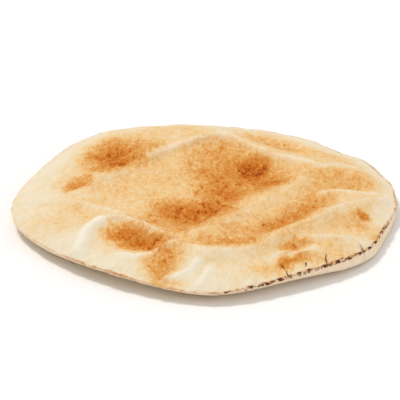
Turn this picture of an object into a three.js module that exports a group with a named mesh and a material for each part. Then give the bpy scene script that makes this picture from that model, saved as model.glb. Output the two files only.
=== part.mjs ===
// A pita bread: one round flatbread with a puffed, folded top skin, a pale side wall and a flat underside.
// It was baked as one piece, so it is one solid.
// Millimetres, +Z up. The origin is the middle of the bread's foot, on the surface that it rests on.
// +X runs across the bread and +Y to its back.

import * as THREE from 'three';
import { mergeVertices } from 'three/addons/utils/BufferGeometryUtils.js';

// Driving dimensions.
const RADIUS = 97; // mean radius of the outline
const SEAM_HEIGHT = 7; // where the top skin meets the side wall
const CROWN_HEIGHT = 14; // top skin, away from folds and hollows
const WALL_HEIGHT = 4.5; // from the seam down to the foot of the wall
const WALL_TUCK = 2.5; // how far the wall's foot lies inside the seam
const WALL_BULGE = 0.5; // how far the wall's middle swells out
const SHOULDER_POWER = 6; // a higher power makes the rim steeper and the middle flatter
const MIDDLE_SAG = 1.5; // the collapsed middle of the pocket
const LEAST_THICKNESS = 4.5; // both skins and the crumb, in the deepest hollow
const FOLD_FADE = 0.16; // share of the radius over which folds die out at the seam
const FOOT_EDGE = 0.8; // share of the radius that lies on the table
const UNDER_WAVE = 0.7; // height of the underside's low waves
const UNDER_WAVE_LENGTH = 46;
const UNDER_WAVE_CUT = 0.45; // the table flattens what would hang below this height

// Grid cells: across each skin, up the wall, and how much closer the rings lie at the rim.
const CELLS_ACROSS = 44;
const WALL_ROWS = 3;
const RIM_CROWDING = 0.2;

const PLAIN_CRUST = { color: 0xe9c58f, roughness: 0.85, metalness: 0 };

// Lobes of the rim: at an angle in degrees, this far to each side, by this many millimetres.
const OUTLINE_LOBES = [
  { at: 12, reach: 34, by: 4.3 },
  { at: -18, reach: 16, by: -1 },
  { at: -34, reach: 14, by: 0.8 },
  { at: -62, reach: 28, by: -4 },
  { at: -122, reach: 38, by: -6.5 },
  { at: -148, reach: 24, by: -1.4 },
  { at: -174, reach: 24, by: 2 },
  { at: 46, reach: 20, by: -2 },
  { at: 118, reach: 40, by: 2.5 },
];
const SEAM_LOBES = [
  { at: -88, reach: 38, by: -0.8 },
  { at: -50, reach: 40, by: 1.6 },
  { at: -120, reach: 30, by: 0.8 },
  { at: 35, reach: 35, by: 1.5 },
  { at: 125, reach: 50, by: 2 },
  { at: 175, reach: 30, by: -1 },
];
const CROWN_LOBES = [
  { at: 120, reach: 60, by: 4 },
  { at: 60, reach: 50, by: 1 },
  { at: 20, reach: 40, by: 1 },
  { at: -30, reach: 50, by: 1.5 },
  { at: -90, reach: 45, by: -1 },
];
const WALL_LOBES = [
  { at: -27, reach: 46, by: 2.6 },
  { at: -110, reach: 50, by: -1.5 },
];
const TUCK_LOBES = [
  { at: -22, reach: 36, by: -3.5 },
  { at: -48, reach: 18, by: -0.8 },
  { at: -110, reach: 75, by: 3 },
];

// Folds of the top skin: a path in plan, how high the fold stands and how wide its side is.
const FOLDS = [
  { name: 'back fold, left', path: [[-35, 36], [-22, 49], [-9, 60], [6, 67]], rise: 3.2, reach: 13 },
  { name: 'back fold, right', path: [[6, 67], [22, 56], [33, 45], [59, 30], [91, 13]], rise: 3, reach: 12 },
  { name: 'plateau edge', path: [[-29, 39], [-47, 21], [-57, 9], [-62, -6]], rise: 2.4, reach: 12 },
  {
    name: 'crescent',
    path: [[-62, -81], [-61, -66], [-59, -50], [-54, -37], [-45, -32], [-33, -40], [-19, -55]],
    rise: 3,
    reach: 8,
  },
  {
    name: 'middle fold',
    path: [[0, -54], [5, -44], [14, -29], [28, -15], [44, -1], [50, 12]],
    rise: 3.2,
    reach: 14,
  },
  {
    name: 'front fold',
    path: [[-3, -70], [18, -62], [38, -52], [55, -38], [68, -25], [84, -20]],
    rise: 3.4,
    reach: 12,
  },
  { name: 'right fold', path: [[63, -7], [76, -9], [92, -14]], rise: 2, reach: 9 },
  { name: 'front right fold', path: [[50, -70], [60, -59], [69, -60], [76, -67]], rise: 1.4, reach: 8 },
];

// Hollows of the top skin: the middle in plan, half length and half width, turn in degrees, and depth.
const HOLLOWS = [
  { name: 'back left', at: [-48, 43], size: [24, 17], turn: 40, depth: 3.2 },
  { name: 'left', at: [-68, 4], size: [13, 9], turn: -40, depth: 1.4 },
  { name: 'middle, right', at: [26, 22], size: [28, 22], turn: 20, depth: 4 },
  { name: 'middle, left', at: [-9, -26], size: [25, 15], turn: 10, depth: 4 },
  { name: 'inside the crescent', at: [-35, -57], size: [17, 11], turn: -15, depth: 2.8 },
  { name: 'between middle and front folds', at: [38, -38], size: [30, 10], turn: 43, depth: 3 },
  { name: 'right front', at: [70, -40], size: [20, 10], turn: 30, depth: 2 },
  { name: 'front right', at: [45, -63], size: [12, 9], turn: 10, depth: 1.4 },
  { name: 'right', at: [80, 4], size: [19, 9], turn: -22, depth: 2 },
  { name: 'back', at: [44, 57], size: [28, 11], turn: -42, depth: 2.6 },
  { name: 'behind the middle', at: [6, 48], size: [18, 14], turn: 0, depth: 1.8 },
];

const FOLD_STEPS = 90; // samples along a fold's curve

// 1 at the middle and 0 from the edge outwards, with a flat tangent at both.
function swell(share) {
  return share < 1 ? (1 - share * share) ** 2 : 0;
}

function smoothStep(from, to, value) {
  const t = THREE.MathUtils.clamp((value - from) / (to - from), 0, 1);
  return t * t * (3 - 2 * t);
}

function lobed(base, lobes, angle) {
  const degrees = THREE.MathUtils.radToDeg(angle);
  return lobes.reduce((sum, lobe) => {
    const away = Math.abs(((degrees - lobe.at + 540) % 360) - 180);
    return sum + lobe.by * swell(away / lobe.reach);
  }, base);
}

// Each fold's path as a smooth curve, sampled once.
const foldLines = FOLDS.map((fold) => {
  const points = fold.path.map(([x, y]) => new THREE.Vector3(x, y, 0));
  return { ...fold, points: new THREE.CatmullRomCurve3(points).getSpacedPoints(FOLD_STEPS) };
});

function foldHeight(x, y) {
  const here = new THREE.Vector3(x, y, 0);
  return foldLines.reduce((sum, fold) => {
    const nearest = Math.min(...fold.points.map((point) => point.distanceTo(here)));
    return sum + fold.rise * swell(nearest / fold.reach);
  }, 0);
}

function hollowDepth(x, y) {
  return HOLLOWS.reduce((sum, { at, size, turn, depth }) => {
    const angle = THREE.MathUtils.degToRad(-turn);
    const [dx, dy] = [x - at[0], y - at[1]];
    const along = (dx * Math.cos(angle) - dy * Math.sin(angle)) / size[0];
    const across = (dx * Math.sin(angle) + dy * Math.cos(angle)) / size[1];
    return sum + depth * swell(Math.hypot(along, across));
  }, 0);
}

// The underside lies flat on the table in wide patches and lifts towards the wall's foot.
function undersideHeight(x, y, share, angle) {
  const foot = wallFoot(angle).height;
  const lift = foot * smoothStep(FOOT_EDGE, 1, share) ** 1.5;
  const wave = Math.sin((x + 0.4 * y) * (2 * Math.PI / UNDER_WAVE_LENGTH))
    * Math.cos((y - 0.3 * x) * (2 * Math.PI / UNDER_WAVE_LENGTH));
  const arched = Math.max(0, UNDER_WAVE * wave - UNDER_WAVE_CUT * UNDER_WAVE);
  return lift + arched * (1 - smoothStep(FOOT_EDGE, 1, share));
}

function topHeight(x, y, share, angle) {
  const seam = lobed(SEAM_HEIGHT, SEAM_LOBES, angle);
  const crown = lobed(CROWN_HEIGHT, CROWN_LOBES, angle);
  const outward = smoothStep(0, 0.8, share); // the lobes of the crown fade out towards the middle
  const height = CROWN_HEIGHT + (crown - CROWN_HEIGHT) * outward;
  const shoulder = 1 - share ** SHOULDER_POWER;
  const sag = MIDDLE_SAG * swell(share / 0.8);
  const relief = (foldHeight(x, y) - hollowDepth(x, y)) * smoothStep(1, 1 - FOLD_FADE, share);
  return seam + (height - seam) * shoulder - sag * shoulder + relief;
}

function seamPoint(angle) {
  return { radius: lobed(RADIUS, OUTLINE_LOBES, angle), height: lobed(SEAM_HEIGHT, SEAM_LOBES, angle) };
}

function wallFoot(angle) {
  const seam = seamPoint(angle);
  return {
    radius: seam.radius - lobed(WALL_TUCK, TUCK_LOBES, angle),
    height: Math.max(0.6, seam.height - lobed(WALL_HEIGHT, WALL_LOBES, angle)),
  };
}

// Where a square's point lies on a disc: equal rings of the square become equal rings of the disc.
function onDisc(u, v) {
  if (u === 0 && v === 0) return { ring: 0, angle: 0 };
  const across = Math.abs(u) >= Math.abs(v);
  const ring = across ? u : v;
  const angle = across ? (Math.PI / 4) * (v / u) : Math.PI / 2 - (Math.PI / 4) * (u / v);
  return { ring: Math.abs(ring), angle: ring < 0 ? angle + Math.PI : angle };
}

// Wraps a gridded box into the bread: its top and bottom become the skins and its sides the wall.
function breadPoint(u, v, level) {
  const { ring, angle } = onDisc(u, v);
  const share = ring * (1 + RIM_CROWDING - RIM_CROWDING * ring);
  const seam = seamPoint(angle);
  const foot = wallFoot(angle);
  const onWall = Math.abs(level) < 1;
  if (onWall) {
    const down = (1 - level) / 2;
    const bulge = WALL_BULGE * Math.sin(Math.PI * down);
    const radius = THREE.MathUtils.lerp(seam.radius, foot.radius, down ** 1.6) + bulge;
    return polar(radius, angle, THREE.MathUtils.lerp(seam.height, foot.height, down));
  }
  const edge = level > 0 ? seam.radius : foot.radius;
  const point = polar(edge * share, angle, 0);
  point.z = level > 0
    ? Math.max(topHeight(point.x, point.y, share, angle), LEAST_THICKNESS)
    : undersideHeight(point.x, point.y, share, angle);
  return point;
}

function polar(radius, angle, height) {
  return new THREE.Vector3(radius * Math.cos(angle), radius * Math.sin(angle), height);
}

function breadGeometry() {
  const box = new THREE.BoxGeometry(2, 2, 2, CELLS_ACROSS, CELLS_ACROSS, WALL_ROWS);
  box.deleteAttribute('normal');
  box.deleteAttribute('uv');
  const grid = mergeVertices(box);
  const position = grid.getAttribute('position');
  for (let i = 0; i < position.count; i++) {
    const point = breadPoint(position.getX(i), position.getY(i), position.getZ(i));
    position.setXYZ(i, point.x, point.y, point.z);
  }
  grid.computeBoundingBox();
  const middle = grid.boundingBox.getCenter(new THREE.Vector3());
  grid.translate(-middle.x, -middle.y, -grid.boundingBox.min.z);
  grid.computeVertexNormals();
  return grid;
}

const bread = new THREE.Mesh(breadGeometry(), new THREE.MeshStandardMaterial(PLAIN_CRUST));
bread.name = 'pita_bread';

const pita = new THREE.Group();
pita.add(bread);

export default pita;
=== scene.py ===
import math

import bpy
import numpy as np
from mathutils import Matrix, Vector, kdtree, noise


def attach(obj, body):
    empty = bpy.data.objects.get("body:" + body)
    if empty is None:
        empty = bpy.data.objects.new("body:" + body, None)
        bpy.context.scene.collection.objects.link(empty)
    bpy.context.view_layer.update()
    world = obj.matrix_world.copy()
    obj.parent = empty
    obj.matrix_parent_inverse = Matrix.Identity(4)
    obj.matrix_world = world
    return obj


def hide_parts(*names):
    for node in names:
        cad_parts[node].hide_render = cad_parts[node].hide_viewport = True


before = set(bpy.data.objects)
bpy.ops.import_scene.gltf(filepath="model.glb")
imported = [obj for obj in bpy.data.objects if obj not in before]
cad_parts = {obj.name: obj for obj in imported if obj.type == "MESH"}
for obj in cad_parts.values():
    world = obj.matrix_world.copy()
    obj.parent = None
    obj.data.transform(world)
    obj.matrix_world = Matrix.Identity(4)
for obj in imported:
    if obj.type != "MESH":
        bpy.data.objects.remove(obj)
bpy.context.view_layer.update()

# The frame is in metres, with X to the right, Y to the back and Z up. Tables say so where they are
# in millimetres.
MM = 0.001


# ---------------------------------------------------------------- helpers

def pick_only(piece):
    """Makes this the only selected piece, and the active one."""
    bpy.ops.object.select_all(action="DESELECT")
    piece.select_set(True)
    bpy.context.view_layer.objects.active = piece


def clear_picks(mesh):
    """Leaves no point, edge or face of the mesh selected."""
    for part in (mesh.vertices, mesh.edges, mesh.polygons):
        part.foreach_set("select", [False] * len(part))


def apply_modifier(piece, kind, **settings):
    """Adds a modifier, sets it and applies it."""
    modifier = piece.modifiers.new(kind.lower(), kind)
    for name, value in settings.items():
        setattr(modifier, name, value)
    bpy.ops.object.modifier_apply(modifier=modifier.name)


def subdivide_smoothly(piece):
    apply_modifier(piece, "SUBSURF", levels=1, render_levels=1)


def vectors_of(mesh, kind):
    found = np.zeros(len(mesh.vertices) * 3)
    mesh.vertices.foreach_get(kind, found)
    return found.reshape(-1, 3)


def points_of(mesh):
    return vectors_of(mesh, "co")


def normals_of(mesh):
    return vectors_of(mesh, "normal")


def move_points(mesh, points):
    """Moves the mesh's points to these places, but never below the table."""
    points[:, 2] = np.maximum(points[:, 2], 0)
    mesh.vertices.foreach_set("co", points.ravel())
    mesh.update()


def keep_values(mesh, name, values):
    """Stores one number per point, for the sculpting and the crust's finish to read."""
    attribute = mesh.attributes.new(name, "FLOAT", "POINT")
    attribute.data.foreach_set("value", values.astype(np.float32))


def kept_values(mesh, name):
    values = np.zeros(len(mesh.vertices), np.float32)
    mesh.attributes[name].data.foreach_get("value", values)
    return values


def smooth_step(low, high, value):
    """A soft step from 0 at low to 1 at high. The low end may be the larger number."""
    share = np.clip((value - low) / (high - low), 0, 1)
    return share * share * (3 - 2 * share)


# ---------------------------------------------------------------- the bread's shape

RIM_RADIUS = 97 * MM
SAME_PLACE = 1e-6  # corners closer than this are one point

# Where the seam runs: how high, and how far out at least.
SEAM_LOWEST, SEAM_HIGHEST = 5 * MM, 10 * MM
SEAM_INNERMOST = 80 * MM
TOP_SLOPE = 0.3  # a face whose normal rises more than this is on the top skin
WELT_HALF_WIDTH, WELT_HEIGHT = 0.4 * MM, 0.25 * MM
ON_WELT = 0.8  # points with more seam weight than this are on the welt

# A crest is what stands above the skin smoothed this often, and counts in full at this height.
SMOOTHING_PASSES = 90
CREST_HEIGHT = 1.2 * MM


def copy_of_solid(node, name):
    """A copy of a CAD node with its doubles merged and its triangles paired up."""
    piece = bpy.data.objects.new(name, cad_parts[node].data.copy())
    bpy.context.scene.collection.objects.link(piece)
    pick_only(piece)
    bpy.ops.object.mode_set(mode="EDIT")
    bpy.ops.mesh.select_mode(type="VERT")
    bpy.ops.mesh.select_all(action="SELECT")
    bpy.ops.mesh.remove_doubles(threshold=SAME_PLACE)
    bpy.ops.mesh.tris_convert_to_quads(
        face_threshold=math.radians(60), shape_threshold=math.radians(180), topology_influence=2
    )
    bpy.ops.mesh.select_all(action="DESELECT")
    bpy.ops.object.mode_set(mode="OBJECT")
    return piece


def pick_seam(mesh):
    """Selects the edge ring where the top skin meets the wall."""
    rises_at = {}
    for face in mesh.polygons:
        for edge in face.edge_keys:
            rises_at.setdefault(edge, []).append(face.normal.z)
    clear_picks(mesh)
    for edge in mesh.edges:
        rises = rises_at[edge.key]
        ends = [mesh.vertices[i].co for i in edge.key]
        heights = [end.z for end in ends]
        at_height = min(heights) > SEAM_LOWEST and max(heights) < SEAM_HIGHEST
        top_meets_wall = min(rises) < TOP_SLOPE <= max(rises)
        if at_height and top_meets_wall and ends[0].xy.length > SEAM_INNERMOST:
            edge.select = True


def raise_seam_welt(bread):
    """Turns the seam's edge into a thin raised welt, where the two skins are baked together."""
    pick_seam(bread.data)
    bpy.ops.object.mode_set(mode="EDIT")
    bpy.ops.mesh.select_mode(type="EDGE")
    bpy.ops.mesh.bevel(offset=WELT_HALF_WIDTH, segments=2, profile=0.7, affect="EDGES")
    bpy.ops.mesh.select_mode(type="FACE")
    bpy.ops.mesh.extrude_region_shrink_fatten(TRANSFORM_OT_shrink_fatten={"value": WELT_HEIGHT})
    bpy.ops.mesh.select_mode(type="VERT")
    bpy.ops.object.mode_set(mode="OBJECT")
    group = bread.vertex_groups.new(name="seam")
    group.add([v.index for v in bread.data.vertices if v.select], 1.0, "REPLACE")


def group_weights(piece, name):
    """How much each point belongs to a vertex group."""
    index = piece.vertex_groups[name].index
    weights = np.zeros(len(piece.data.vertices))
    for vertex in piece.data.vertices:
        for entry in vertex.groups:
            if entry.group == index:
                weights[vertex.index] = entry.weight
    return weights


def mark_regions(bread):
    """Stores how far each point lies from the seam, in millimetres, and which skin it is on."""
    mesh = bread.data
    points = points_of(mesh)
    welt = np.nonzero(group_weights(bread, "seam") > ON_WELT)[0]
    tree = kdtree.KDTree(len(welt))
    for i in welt:
        tree.insert(points[i], int(i))
    tree.balance()
    far = np.array([tree.find(p)[2] for p in points])
    rise = normals_of(mesh)[:, 2]
    keep_values(mesh, "from_seam", far / MM)
    keep_values(mesh, "top_skin", smooth_step(0.0, 0.45, rise))
    keep_values(mesh, "under_skin", smooth_step(0.55, 0.9, -rise))


def mark_crests(bread):
    """Stores how far each point stands above (up to 1) or below (down to -1) the skin around it."""
    mesh = bread.data
    edges = np.zeros(len(mesh.edges) * 2, np.int32)
    mesh.edges.foreach_get("vertices", edges)
    first, second = edges.reshape(-1, 2).T
    count = len(mesh.vertices)
    neighbours = np.bincount(edges, minlength=count)
    height = points_of(mesh)[:, 2]
    level = height.copy()
    for _ in range(SMOOTHING_PASSES):
        total = np.bincount(first, level[second], count) + np.bincount(second, level[first], count)
        level = (level + total / neighbours) / 2
    keep_values(mesh, "crest", np.clip((height - level) / CREST_HEIGHT, -1, 1))


def sculpt(bread, stroke):
    """Moves each point along its normal by the stroke's height there, in millimetres."""
    mesh = bread.data
    points = points_of(mesh)
    move_points(mesh, points + normals_of(mesh) * (stroke(mesh, points) * MM)[:, None])


def lumps(points, size, seed):
    """Soft noise between about -1 and 1 whose lumps have this size in metres."""
    shift = Vector((seed * 7.3, seed * 3.1, seed * 5.7))
    return np.array([noise.noise(Vector(p) / size + shift) for p in points])


def radial_wrinkles(points, width, seed):
    """Noise that runs out to the rim as wrinkles of this width there."""
    far = np.maximum(np.hypot(points[:, 0], points[:, 1]), 0.01 * MM)  # never quite 0, to divide by
    around = points[:, :2] / far[:, None] * RIM_RADIUS / width
    return np.array(
        [noise.noise(Vector((a, b, r / (6 * width) + seed))) for (a, b), r in zip(around, far)]
    )


def rim_wrinkles(mesh, points):
    """Wrinkles that run in from the rim, strongest at the front."""
    from_seam = kept_values(mesh, "from_seam")
    top = kept_values(mesh, "top_skin")
    near = smooth_step(42, 6, from_seam) * smooth_step(0.0, 3.0, from_seam) * top
    front = smooth_step(0.2, -0.8, points[:, 1] / RIM_RADIUS) * 0.75 + 0.25
    fine = radial_wrinkles(points, 8 * MM, 3) * 0.9 + radial_wrinkles(points, 4 * MM, 9) * 0.55
    return near * front * fine


# Crests that stand sharper than the solid's folds: path in plan, height and half width, in
# millimetres, then how much pale flour lies on the crest, partly real flour and partly a painted
# highlight.
CRESTS = (
    ("crescent, steep left side",
     ((-63, -70), (-61, -59), (-59, -50), (-56, -43), (-52, -39)), 2.8, 6, 0.34),
    ("crescent, top",
     ((-52, -39), (-46, -36), (-39, -38), (-32, -43), (-25, -50), (-17, -56)), 2.0, 5, 0.1),
    ("left fold",
     ((-88, -8), (-76, -10), (-69, -14), (-59, -19), (-50, -23), (-40, -34)), 1.4, 6, 0.06),
    ("beside the left dimple",
     ((-60, -4), (-58, 5), (-55, 10), (-49, 13), (-39, 19)), 1.1, 7, 0.04),
    ("back fold, left half",
     ((-29, 32), (-21, 40), (-13, 48), (-3, 57), (8, 60), (15, 59), (24, 49)), 1.4, 4.5, 0.1),
    ("back fold, right half",
     ((24, 49), (38, 37), (48, 31), (63, 22), (80, 28)), 1.4, 4, 0.12),
    ("middle fold",
     ((-5, -51), (5, -47), (15, -34), (28, -20), (42, -7), (52, 7)), 1.1, 8, 0.04),
    ("front fold, left half",
     ((-12, -61), (-3, -70), (9, -70), (21, -68), (30, -62), (39, -54)), 1.5, 6, 0.06),
    ("front fold, right half",
     ((39, -54), (49, -45), (60, -36), (68, -27), (80, -17), (93, -4)), 1.6, 5, 0.06),
    ("short fold at the right end",
     ((60, -8), (75, -4), (88, 0)), 1.4, 5, 0.12),
    ("arch over the front blister",
     ((46, -60), (54, -55), (62, -53), (71, -52), (77, -57)), 1.9, 4.5, 0.07),
    ("under the front blister",
     ((34, -69), (39, -66), (49, -68), (53, -63)), 1.1, 3, 0.08),
    ("low lip of the crescent's hollow",
     ((-41, -68), (-34, -70), (-27, -68), (-21, -63), (-15, -59)), 1.6, 5, 0.16),
    ("front lip, left wrinkle",
     ((-22, -90), (-12, -85), (-7, -82), (-4, -78)), 1.5, 4.5, 0.2),
    ("front lip, right wrinkle",
     ((-6, -97), (-3, -92), (0, -87), (2, -81)), 1.7, 4, 0.2),
)

# Broad hollows and swells of the top skin: middle in plan, radius and height, in millimetres.
SWELLS = (
    ((3, -79), 8, -0.8),
    ((-66, -33), 14, -0.8),
    ((70, -38), 15, 0.8),
    ((-15, -76), 9, -0.6),
    ((34, -58), 8, 0.6),
)

# Places where the rim was baked a little higher or lower: middle in plan, radius and lift, in
# millimetres.
RIM_LIFTS = (
    ((-92, 40), 34, -1.5),
    ((-53, 78), 17, 1.3),
    ((-28, 90), 13, -0.9),
    ((58, 72), 13, 1.2),
    ((75, 58), 11, -1.3),
    ((93, 32), 18, -1.5),
)


def away_from_path(points, path):
    """How far each point lies from a path in plan, in millimetres."""
    plan = points[:, :2] / MM
    nearest = np.full(len(plan), np.inf)
    for start, end in zip(path, path[1:]):
        start, way = np.array(start, float), np.subtract(end, start)
        along = np.clip((plan - start) @ way / (way @ way), 0, 1)
        nearest = np.minimum(nearest, np.linalg.norm(plan - start - along[:, None] * way, axis=1))
    return nearest


def inside_of_seam(mesh, full):
    """1 on the top skin from this many millimetres inside the seam, and 0 beside the seam."""
    return smooth_step(0.5, full, kept_values(mesh, "from_seam")) * kept_values(mesh, "top_skin")


def away_from_spot(points, spot):
    """How far each point lies from a spot in plan, in millimetres."""
    return np.hypot(points[:, 0] / MM - spot[0], points[:, 1] / MM - spot[1])


def sharp_crests(mesh, points):
    """Raises the crests, and stores how much pale flour lies on them: partly real flour, partly a
    painted highlight.
    """
    height = np.zeros(len(points))
    flour_and_highlight = np.zeros(len(points))
    for _, path, rise, reach, flour_and_highlight_share in CRESTS:
        bump = np.clip(1 - away_from_path(points, path) / reach, 0, 1) ** 1.7
        height = np.maximum(height, rise * bump)
        flour_and_highlight = np.maximum(flour_and_highlight, flour_and_highlight_share * bump)
    inside = inside_of_seam(mesh, 6.0)
    keep_values(mesh, "flour_and_highlight", inside * flour_and_highlight)
    return inside * height


def swells(mesh, points):
    """The broad hollows and swells of the top skin."""
    height = np.zeros(len(points))
    for spot, radius, rise in SWELLS:
        height += rise * smooth_step(radius, 0, away_from_spot(points, spot))
    return inside_of_seam(mesh, 8.0) * height


def lift_rim(bread):
    """Raises or lowers both skins together along the rim."""
    mesh = bread.data
    points = points_of(mesh)
    near = smooth_step(26, 2, kept_values(mesh, "from_seam"))
    for spot, radius, lift in RIM_LIFTS:
        points[:, 2] += near * lift * MM * smooth_step(radius, 0, away_from_spot(points, spot))
    move_points(mesh, points)


def crimped_edge(mesh, points):
    """Fine radial crimps along the front of the seam, on its top side."""
    near = smooth_step(5.5, 1.0, kept_values(mesh, "from_seam")) * kept_values(mesh, "top_skin")
    front = smooth_step(20 * MM, -60 * MM, points[:, 1])
    return near * front * radial_wrinkles(points, 2.8 * MM, 21) * 1.1


def skin_lumps(mesh, points):
    """The uneven skin: full on the top, half as strong on the wall, and none below."""
    top = kept_values(mesh, "top_skin")
    under = kept_values(mesh, "under_skin")
    wall = np.clip(1 - top - under, 0, 1)
    uneven = lumps(points, 15 * MM, 1) * 0.6 + lumps(points, 6.5 * MM, 2) * 0.26
    uneven = uneven + lumps(points, 3.2 * MM, 6) * 0.1
    return (top + wall * 0.5) * uneven


def seam_teeth(mesh, points):
    """Makes the welt uneven, most at the front."""
    front = 0.4 + 0.6 * smooth_step(30 * MM, -50 * MM, points[:, 1])
    near = smooth_step(2.2, 0.2, kept_values(mesh, "from_seam")) * front
    return near * (lumps(points, 2.6 * MM, 4) * 0.6 + lumps(points, 7 * MM, 5) * 0.4)


def bake_bread():
    """The solid, smoothed, with the welt on its seam and the skins sculpted."""
    bread = copy_of_solid("pita_bread", "baked_pita")
    raise_seam_welt(bread)
    subdivide_smoothly(bread)
    mark_crests(bread)
    subdivide_smoothly(bread)
    mark_regions(bread)
    lift_rim(bread)
    for stroke in (swells, sharp_crests, skin_lumps, rim_wrinkles, crimped_edge, seam_teeth):
        sculpt(bread, stroke)
    bpy.ops.object.shade_smooth()
    return bread


# ---------------------------------------------------------------- shader helpers

# The colour sockets of a mix node, which share their names with sockets of other kinds.
MIX_FIRST, MIX_SECOND, MIX_RESULT = 6, 7, 2


def new_group(name, inputs, outputs):
    """An empty node group with these named sockets: (name, kind, default)."""
    group = bpy.data.node_groups.new(name, "ShaderNodeTree")
    for socket, kind, default in inputs:
        made = group.interface.new_socket(socket, in_out="INPUT", socket_type=kind)
        if default is not None:
            made.default_value = default
    for socket, kind in outputs:
        group.interface.new_socket(socket, in_out="OUTPUT", socket_type=kind)
    return group


def wire(tree, target, source):
    """Joins a socket or writes a plain value into it."""
    if isinstance(source, bpy.types.NodeSocket):
        tree.links.new(source, target)
    else:
        target.default_value = source


def math_node(tree, operation, *sources, clamp=False):
    """The result of a calculation with sockets or plain values."""
    node = tree.nodes.new("ShaderNodeMath")
    node.operation = operation
    node.use_clamp = clamp
    for target, source in zip(node.inputs, sources):
        wire(tree, target, source)
    return node.outputs[0]


def vector_math(tree, operation, *sources):
    node = tree.nodes.new("ShaderNodeVectorMath")
    node.operation = operation
    for target, source in zip(node.inputs, sources):
        wire(tree, target, source)
    return node.outputs["Vector"]


def fade(tree, value, low, high, to_low=0.0, to_high=1.0):
    """A soft step from to_low at low to to_high at high."""
    node = tree.nodes.new("ShaderNodeMapRange")
    node.interpolation_type = "SMOOTHSTEP"
    wire(tree, node.inputs["Value"], value)
    wire(tree, node.inputs["From Min"], low)
    wire(tree, node.inputs["From Max"], high)
    wire(tree, node.inputs["To Min"], to_low)
    wire(tree, node.inputs["To Max"], to_high)
    return node.outputs["Result"]


def noise_texture(tree, point, scale, detail, roughness):
    node = tree.nodes.new("ShaderNodeTexNoise")
    wire(tree, node.inputs["Vector"], point)
    node.inputs["Scale"].default_value = scale
    node.inputs["Detail"].default_value = detail
    node.inputs["Roughness"].default_value = roughness
    return node


def speckle(tree, point, scale, detail, roughness):
    """Noise around 0.5."""
    return noise_texture(tree, point, scale, detail, roughness).outputs["Fac"]


def mix_colour(tree, share, first, second):
    """The first colour where the share is 0, and the second where it is 1."""
    node = tree.nodes.new("ShaderNodeMix")
    node.data_type = "RGBA"
    wire(tree, node.inputs["Factor"], share)
    wire(tree, node.inputs[MIX_FIRST], first)
    wire(tree, node.inputs[MIX_SECOND], second)
    return node.outputs[MIX_RESULT]


def read_values(tree, name):
    """What the mesh keeps under this name."""
    node = tree.nodes.new("ShaderNodeAttribute")
    node.attribute_name = name
    return node.outputs["Fac"]


def use_group(tree, group, **sources):
    """Places a node group. An underscore in an input's name stands for a space."""
    node = tree.nodes.new("ShaderNodeGroup")
    node.node_tree = group
    for name, source in sources.items():
        wire(tree, node.inputs[name.replace("_", " ")], source)
    return node.outputs


def shade(red, green, blue):
    """A paint colour given as 0 to 255 per channel, as the shader wants it."""
    def straight(value):
        value /= 255
        return value / 12.92 if value <= 0.04045 else ((value + 0.055) / 1.055) ** 2.4
    return (straight(red), straight(green), straight(blue), 1.0)


# ---------------------------------------------------------------- the crust's finish

# Toasted patches of the top skin: middle in plan, half length and half width, in millimetres, then
# the turn in degrees and how dark the patch is.
TOASTED_PATCHES = (
    ("back left hollow", (-47, 42), (24, 25), 37, 0.35),
    ("back left hollow, core", (-50, 38), (11, 9), 20, 0.14),
    ("back left hollow, foot", (-53, 22), (15, 10), 51, 0.14),
    ("back left hollow, low edge", (-46, 23), (16, 6), 38, 0.2),
    ("left dimple", (-66, 5), (14, 10), -34, 0.28),
    ("pale peak of the back fold", (7, 70), (13, 10), 0, -0.2),
    ("front left edge", (-81, -35), (17, 13), -43, 0.12),
    ("middle rise", (-12, 10), (30, 20), 0, 0.06),
    ("middle hollow", (19.5, 18), (38, 30), -52, 0.29),
    ("middle hollow, core", (25, 29), (9.5, 12), 0, 0.36),
    ("middle hollow, right side", (38, 7), (13, 9), -50, 0.16),
    ("middle hollow, back", (6, 48), (21, 13), 13, 0.12),
    ("neck between the hollows", (7, -6), (16, 16), 79, 0.29),
    ("front middle hollow", (-5, -22), (28, 14), -12, 0.42),
    ("front middle hollow, foot", (-13, -39), (30, 12), -11, 0.24),
    ("crescent's hollow", (-29, -56.5), (19, 11.5), -22, 0.42),
    ("crescent's hollow, back", (-43, -46), (11, 7), 5, 0.26),
    ("below the crescent's hollow", (-22, -79), (18, 12), 84, 0.48),
    ("front left lip", (-16, -90), (13, 5), 0, 0.1),
    ("front middle", (6, -61.5), (26, 10), -10, 0.2),
    ("valley before the middle fold", (38, -42), (35, 16), 43, 0.29),
    ("valley's far end", (58, -12), (22, 12), 53, 0.16),
    ("right shoulder", (60, 11), (22, 16), 63, 0.05),
    ("right cheek", (83, -39), (16, 11), -5, 0.2),
    ("right cheek, spot", (80, -28), (4, 4), 0, 0.45),
    ("front blister", (43, -61.8), (12, 4.5), 28, 0.38),
    ("front blister's foot", (42, -72.5), (11, 6.5), 20, 0.42),
    ("right front edge", (59, -66), (23, 12), 37, 0.29),
    ("front edge", (30, -80), (18, 10), 11, 0.24),
    ("right end", (76, 12), (20, 12), -6, 0.14),
    ("back right hollow", (41, 60), (24, 12), -29, 0.13),
)

# How far the outlines of large patches and of small ones wander, in metres. A patch is small up to
# this half width, in millimetres.
RAGGED, CROOKED = 0.018, 0.005
SMALL_PATCH = 5

# Where the seam is charred at all, and where the char spreads farthest from it: middle in plan,
# half length and half width, in millimetres, and the turn in degrees.
CHARRED_PART = ((60, -70), (78, 36), 38)
BURNT_PART = ((41, -82), (20, 12), 20)

# Short splits in the rim: middle in plan and half length, in millimetres, and the turn in degrees.
SPLITS = (
    ((37, -77.5), 3.2, -65),
    ((38.8, -82.5), 3, -88),
    ((48, -76), 2, -90),
    ((58.3, -70), 4.5, -80),
    ((77.5, -58.5), 5.5, -62),
)
SPLIT_HALF_WIDTH = 0.5

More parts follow.
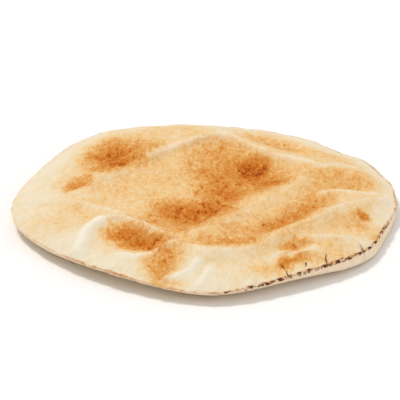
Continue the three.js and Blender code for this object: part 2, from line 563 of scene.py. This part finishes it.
# The top skin's colours, from pale dough to dark brown toast.
TOAST_COLOURS = (
    (0.0, shade(237, 223, 195)),
    (0.14, shade(237, 211, 169)),
    (0.3, shade(235, 191, 128)),
    (0.5, shade(218, 150, 72)),
    (0.7, shade(204, 118, 34)),
    (0.88, shade(178, 86, 10)),
    (1.0, shade(148, 66, 8)),
)


def toasted_patch_group():
    """Mask of one soft-edged toasted patch, 1 in its middle and 0 outside."""
    group = new_group(
        "toasted patch",
        [
            ("Point", "NodeSocketVector", None),
            ("Middle", "NodeSocketVector", None),
            ("Half Length", "NodeSocketFloat", 10 * MM),
            ("Half Width", "NodeSocketFloat", 10 * MM),
            ("Turn", "NodeSocketFloat", 0.0),
        ],
        [("Mask", "NodeSocketFloat")],
    )
    given = group.nodes.new("NodeGroupInput").outputs
    result = group.nodes.new("NodeGroupOutput").inputs
    away = vector_math(group, "SUBTRACT", given["Point"], given["Middle"])
    turned = group.nodes.new("ShaderNodeVectorRotate")
    turned.rotation_type = "Z_AXIS"
    turned.invert = True
    wire(group, turned.inputs["Vector"], away)
    wire(group, turned.inputs["Angle"], given["Turn"])
    parts = group.nodes.new("ShaderNodeSeparateXYZ")
    wire(group, parts.inputs[0], turned.outputs[0])
    along = math_node(group, "DIVIDE", parts.outputs["X"], given["Half Length"])
    across = math_node(group, "DIVIDE", parts.outputs["Y"], given["Half Width"])
    squares = math_node(
        group, "ADD", math_node(group, "POWER", along, 2.0), math_node(group, "POWER", across, 2.0)
    )
    wire(group, result["Mask"], fade(group, math_node(group, "SQRT", squares), 1.25, 0.15))
    return group


def patch_mask(tree, patch, point, middle, half_size, turn):
    """Mask of a patch given in millimetres in plan and degrees."""
    return use_group(
        tree, patch, Point=point, Middle=(middle[0] * MM, middle[1] * MM, 0),
        Half_Length=half_size[0] * MM, Half_Width=half_size[1] * MM, Turn=math.radians(turn),
    )["Mask"]


def crust_material():
    """Baked crust: pale floury dough, golden bloom, toasted patches and a charred seam, with painted
    highlight and shade along the folds and painted shade in the splits.
    """
    material = bpy.data.materials.new("baked crust")
    material.use_nodes = True
    tree = material.node_tree
    shader = tree.nodes["Principled BSDF"]
    point = tree.nodes.new("ShaderNodeTexCoord").outputs["Object"]
    from_seam = read_values(tree, "from_seam")
    top = read_values(tree, "top_skin")
    under = read_values(tree, "under_skin")
    place = tree.nodes.new("ShaderNodeSeparateXYZ")
    wire(tree, place.inputs[0], point)

    # The patches' outlines wander, at two sizes.
    wander = noise_texture(tree, point, 85, 5, 0.65).outputs["Color"]
    offset = vector_math(tree, "SUBTRACT", wander, (0.5, 0.5, 0.5))
    flat_point = vector_math(tree, "MULTIPLY", point, (1, 1, 0))
    ragged_point = vector_math(tree, "MULTIPLY_ADD", offset, (RAGGED, RAGGED, 0.0), flat_point)
    crooked_point = vector_math(tree, "MULTIPLY_ADD", offset, (CROOKED, CROOKED, 0.0), flat_point)
    patch = toasted_patch_group()
    toast = None
    for _, middle, half_size, turn, dark in TOASTED_PATCHES:
        patch_point = ragged_point if half_size[1] > SMALL_PATCH else crooked_point
        mask = patch_mask(tree, patch, patch_point, middle, half_size, turn)
        share = math_node(tree, "MULTIPLY", mask, dark)
        toast = share if toast is None else math_node(tree, "ADD", toast, share)

    # Noise from broad to fine. The fine grain is drawn out a little from front to back.
    cloud = speckle(tree, point, 60, 4, 0.6)
    grain_point = vector_math(tree, "MULTIPLY", point, (1, 0.6, 1))
    coarse = speckle(tree, grain_point, 300, 3, 0.6)
    fine = speckle(tree, grain_point, 700, 2, 0.6)

    # Golden all over the middle, pale towards the front and left rim, and floury along the folds. The
    # wider pale band at the left rim is partly a painted highlight, and the flour along the folds is
    # partly a painted highlight.
    front = fade(tree, place.outputs["Y"], -40 * MM, -85 * MM)
    left = fade(tree, place.outputs["X"], -45 * MM, -95 * MM, 0.0, 24.0)
    right = fade(tree, place.outputs["X"], 45 * MM, 95 * MM, 24.0, 13.0)
    golden_from = math_node(tree, "MULTIPLY_ADD", front, 21.0, math_node(tree, "ADD", left, right))
    bloom_and_painted_light = fade(tree, from_seam, 3.0, golden_from, 0.02, 0.24)
    # Crests are painted a little paler and hollows a little darker: painted highlight and painted
    # shade.
    bloom_and_painted_light = math_node(tree, "MULTIPLY_ADD", read_values(tree, "crest"), -0.03, bloom_and_painted_light)
    # Flour on the crests, partly real and partly a painted highlight, lightens the toast.
    bloom_and_painted_light = math_node(tree, "MULTIPLY_ADD", read_values(tree, "flour_and_highlight"), -1.0, bloom_and_painted_light)
    bloom_and_painted_light = math_node(tree, "MULTIPLY_ADD", math_node(tree, "SUBTRACT", cloud, 0.5), 0.3, bloom_and_painted_light)
    toast = math_node(tree, "ADD", bloom_and_painted_light, toast)
    coarse_grain = math_node(tree, "MULTIPLY", math_node(tree, "SUBTRACT", coarse, 0.5), 1.3)
    fine_grain = math_node(tree, "MULTIPLY", math_node(tree, "SUBTRACT", fine, 0.5), 1.7)
    grain = math_node(tree, "ADD", coarse_grain, fine_grain)
    grain_amount = math_node(tree, "MULTIPLY_ADD", toast, 0.36, 0.16)
    specks = fade(tree, speckle(tree, grain_point, 330, 2, 0.5), 0.56, 0.72)
    specks = math_node(tree, "MULTIPLY", specks, fade(tree, toast, 0.25, 0.6, 0.03, 0.26))
    toast = math_node(tree, "ADD", toast, specks)
    toast = math_node(tree, "MULTIPLY_ADD", grain, grain_amount, toast, clamp=True)

    ramp = tree.nodes.new("ShaderNodeValToRGB")
    stops = ramp.color_ramp.elements
    stops[0].position, stops[0].color = TOAST_COLOURS[0]
    stops[1].position, stops[1].color = TOAST_COLOURS[-1]
    for position, colour in TOAST_COLOURS[1:-1]:
        stops.new(position).color = colour
    wire(tree, ramp.inputs["Fac"], toast)

    # The wall is pale, and the underside is browned in spots by the oven's floor.
    wall_colour = mix_colour(tree, coarse, shade(234, 202, 164), shade(248, 232, 208))
    blotches = fade(tree, speckle(tree, point, 26, 6, 0.7), 0.42, 0.72, 0.0, 0.7)
    spots = fade(tree, speckle(tree, point, 120, 3, 0.6), 0.52, 0.76, 0.0, 0.4)
    scorch = math_node(tree, "ADD", blotches, spots)
    scorch = math_node(tree, "MULTIPLY", scorch, fade(tree, from_seam, 4.0, 26.0, 0.15, 1.0))
    scorch = math_node(tree, "MULTIPLY_ADD", grain, 0.16, scorch, clamp=True)
    under_colour = mix_colour(tree, cloud, shade(240, 220, 184), shade(230, 194, 138))
    under_colour = mix_colour(tree, scorch, under_colour, shade(180, 106, 44))
    lower = mix_colour(tree, under, wall_colour, under_colour)
    # Where the skin is little toasted, the crests' flour whitens it: partly real flour, partly a
    # painted highlight.
    flour_highlight_shows = fade(tree, toast, 0.5, 0.1, 0.3, 2.4)
    flour_and_highlight_share = math_node(tree, "MULTIPLY", read_values(tree, "flour_and_highlight"), flour_highlight_shows)
    skin = mix_colour(tree, flour_and_highlight_share, ramp.outputs["Color"], shade(249, 241, 223))
    colour = mix_colour(tree, top, lower, skin)

    # The seam is charred in broken flecks, most at the right front and least at the back left.
    tooth = speckle(tree, point, 430, 3, 0.6)
    charred = patch_mask(tree, patch, flat_point, *CHARRED_PART)
    char_from = fade(tree, charred, 0.0, 0.8, 0.68, 0.43)
    char = fade(tree, tooth, char_from, math_node(tree, "ADD", char_from, 0.12))
    burnt = patch_mask(tree, patch, flat_point, *BURNT_PART)
    char_reach = math_node(tree, "MULTIPLY_ADD", burnt, 0.7, 0.8)
    char = math_node(tree, "MULTIPLY", fade(tree, from_seam, char_reach, 0.45), char)

    # Beside the char the seam is browned, more to the right than at the far left.
    from_left = fade(tree, place.outputs["X"], -95 * MM, -50 * MM, 0.1, 0.6)
    browned = math_node(tree, "MULTIPLY", from_left, fade(tree, top, 0.0, 0.5, 0.3, 1.0))
    browned = math_node(tree, "MULTIPLY", browned, fade(tree, coarse, 0.35, 0.65, 0.3, 1.3))
    glow = math_node(tree, "MULTIPLY", fade(tree, from_seam, 1.4, 0.1), browned)
    colour = mix_colour(tree, glow, colour, shade(190, 112, 50))
    char_grain = fade(tree, fine, 0.35, 0.65)
    char_colour = mix_colour(tree, char_grain, shade(64, 30, 14), shade(122, 66, 34))
    colour = mix_colour(tree, char, colour, char_colour)

    # The splits show most on the top skin, and lie a little deeper than the skin around them. Each is
    # painted dark brown as painted shade inside the crack.
    splits = None
    for middle, half_length, turn in SPLITS:
        half_size = (half_length, SPLIT_HALF_WIDTH)
        split = patch_mask(tree, patch, crooked_point, middle, half_size, turn)
        splits = split if splits is None else math_node(tree, "MAXIMUM", splits, split)
    open_skin = fade(tree, top, 0.2, 0.6, 0.25, 1.0)
    splits = math_node(tree, "MULTIPLY", splits, open_skin)
    colour = mix_colour(tree, splits, colour, shade(120, 66, 30))
    wire(tree, shader.inputs["Base Color"], colour)

    rough = fade(tree, toast, 0.2, 0.9, 0.92, 0.78)
    wire(tree, shader.inputs["Roughness"], rough)
    shader.inputs["Specular IOR Level"].default_value = 0.12
    shader.inputs["Subsurface Weight"].default_value = 0.06
    shader.inputs["Subsurface Radius"].default_value = (1.0, 0.5, 0.25)
    shader.inputs["Subsurface Scale"].default_value = 3 * MM

    relief = math_node(tree, "MULTIPLY_ADD", coarse, 0.6, math_node(tree, "MULTIPLY", fine, 0.3))
    relief = math_node(tree, "SUBTRACT", relief, math_node(tree, "MULTIPLY", splits, 0.5))
    bump = tree.nodes.new("ShaderNodeBump")
    bump.inputs["Strength"].default_value = 0.8
    bump.inputs["Distance"].default_value = 0.9 * MM
    wire(tree, bump.inputs["Height"], relief)
    wire(tree, shader.inputs["Normal"], bump.outputs["Normal"])
    return material


# ---------------------------------------------------------------- the table, the light and the camera

def plain_material(name, colour, roughness):
    material = bpy.data.materials.new(name)
    material.use_nodes = True
    shader = material.node_tree.nodes["Principled BSDF"]
    shader.inputs["Base Color"].default_value = colour
    shader.inputs["Roughness"].default_value = roughness
    return material


def lay_table():
    """A wide white table, a hair below the bread."""
    bpy.ops.object.select_all(action="DESELECT")
    bpy.ops.mesh.primitive_plane_add(size=6, location=(0, 0, -0.1 * MM))
    table = bpy.context.object
    table.name = "white_table"
    table.data.materials.append(plain_material("white table", (0.97, 0.97, 0.97, 1), 0.8))


def area_light(name, place, size, power, colour):
    """A square light that shines on the bread."""
    bpy.ops.object.light_add(type="AREA", location=place)
    light = bpy.context.object
    light.name = name
    light.data.size = size
    light.data.energy = power
    light.data.color = colour
    light.rotation_euler = (-Vector(place)).to_track_quat("-Z", "Y").to_euler()


def light_the_studio():
    """Soft light from all around, a main light above, and a weak one low at the right front."""
    world = bpy.data.worlds.new("white studio")
    bpy.context.scene.world = world
    world.use_nodes = True
    world.node_tree.nodes["Background"].inputs["Color"].default_value = (1, 1, 1, 1)
    world.node_tree.nodes["Background"].inputs["Strength"].default_value = 0.62
    area_light("ceiling light", (-1.3, 0.7, 3.3), 0.7, 57, (1, 0.99, 0.97))
    area_light("front fill", (1.3, -0.7, 0.6), 0.8, 3.5, (1, 1, 1))
    bpy.context.scene.view_settings.view_transform = "Standard"


def set_camera():
    """In front of the bread, looking down on it at a low angle."""
    tilt = math.radians(26)
    distance = 0.9
    aim = Vector((-2.6, 1.3, 7)) * MM
    place = aim + Vector((0, -math.cos(tilt), math.sin(tilt))) * distance
    bpy.ops.object.camera_add(location=place, rotation=(math.radians(90) - tilt, 0, 0))
    camera = bpy.context.object
    camera.name = "camera"
    camera.data.sensor_width = 36
    camera.data.lens = 155.9
    bpy.context.scene.camera = camera


set_camera()
light_the_studio()
lay_table()
bread = bake_bread()
bread.data.materials.clear()
bread.data.materials.append(crust_material())
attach(bread, "root")
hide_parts("pita_bread")
